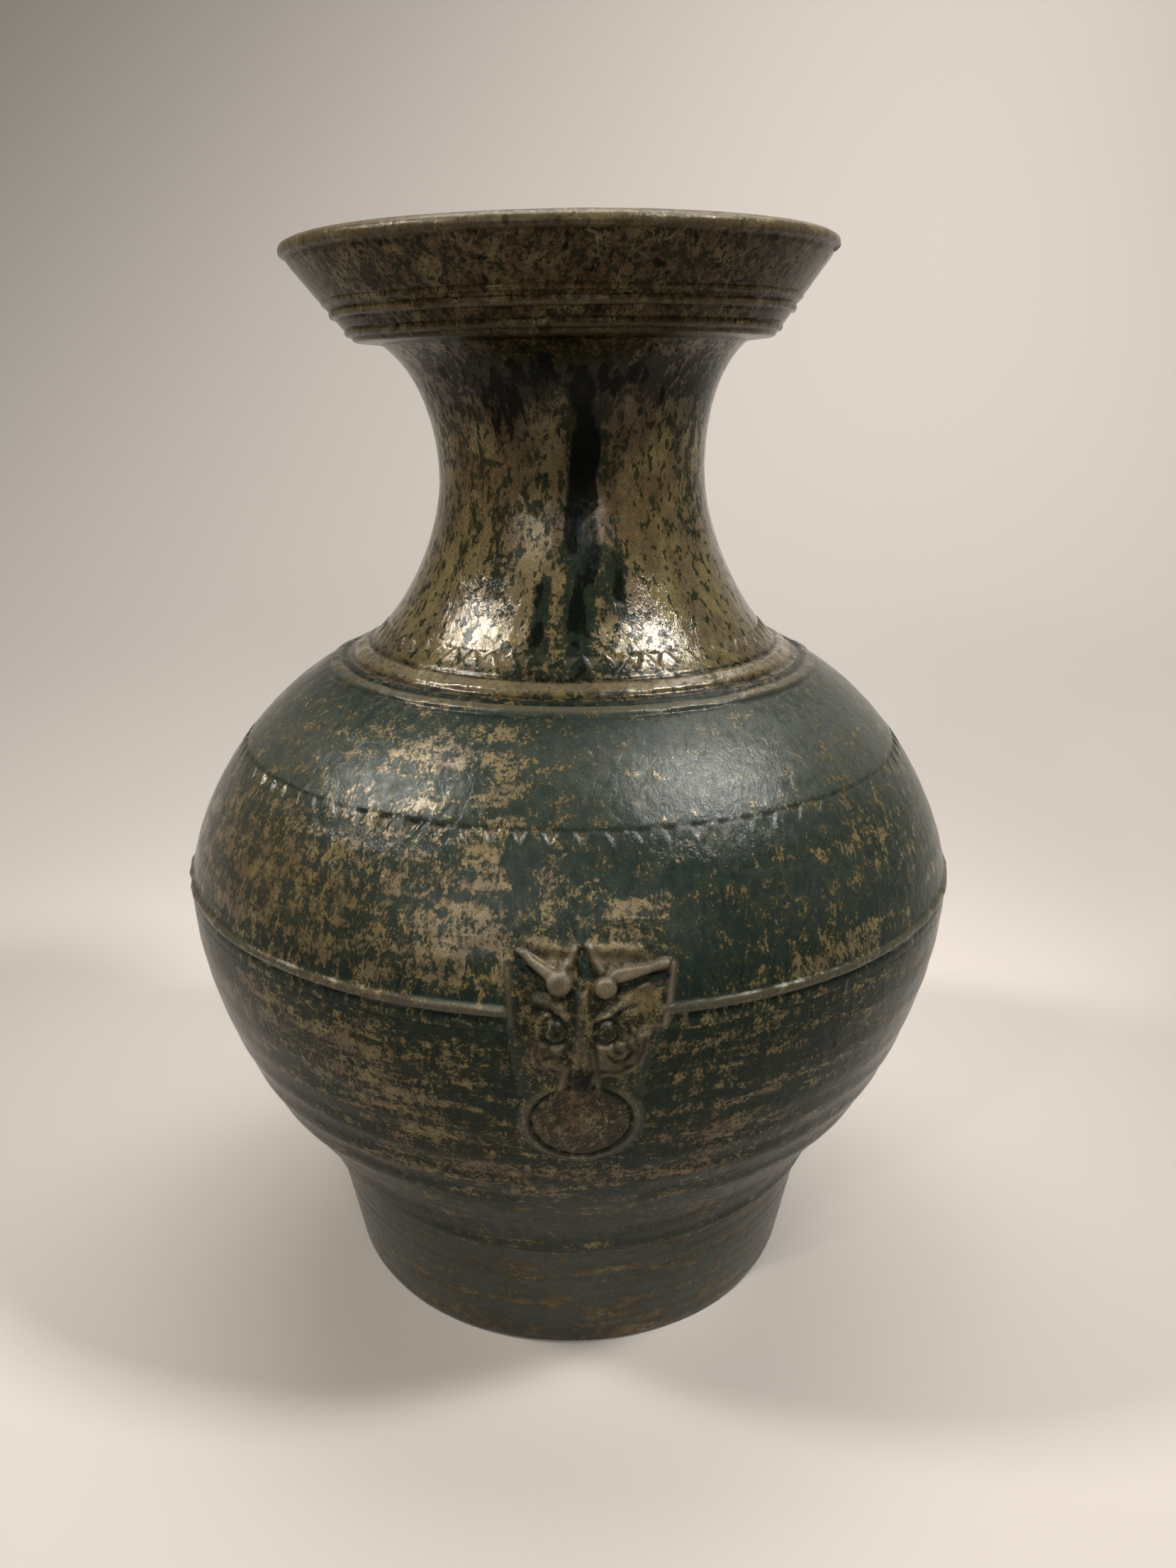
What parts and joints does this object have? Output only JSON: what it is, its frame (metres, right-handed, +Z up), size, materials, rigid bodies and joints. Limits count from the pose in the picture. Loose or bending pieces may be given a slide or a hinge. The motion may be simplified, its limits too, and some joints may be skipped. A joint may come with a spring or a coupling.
{
  "type": "glazed pottery hu jar",
  "caption": "Swelling jar on a tall foot with a waisted neck, a dish mouth, bow-string ridges and moulded ring masks, luted together from thrown and glazed pottery sections.",
  "frame": {"origin": "centre of the standing plane", "axes": "+Z up the axis of the jar, -Y towards the front mask, +X to the right of someone facing that mask"},
  "size_m": [0.3005, 0.3062, 0.4],
  "materials": {
    "olive_glaze": "olive brown lead glaze, dulled",
    "golden_glaze": "golden brown lead glaze with green flecks",
    "green_glaze": "dark green lead glaze with olive patches and a silvery bloom",
    "dark_glaze": "thin dark glaze, half matte",
    "bare_clay": "unglazed reddish earthenware",
    "fired_slip": "fired slip, unglazed"
  },
  "bodies": {
    "root": {"mouth_dish": "olive_glaze", "mouth_slip": "fired_slip", "neck": "golden_glaze", "neck_slip": "fired_slip", "shoulder": "green_glaze", "belly_slip": "fired_slip", "lower_body": "green_glaze", "foot_slip": "fired_slip", "foot_wall": "dark_glaze", "base_slip": "fired_slip", "base_disc": "bare_clay", "front_mask": "green_glaze", "front_mask_slip": "fired_slip", "rear_mask": "green_glaze", "rear_mask_slip": "fired_slip"}
  },
  "joints": []
}
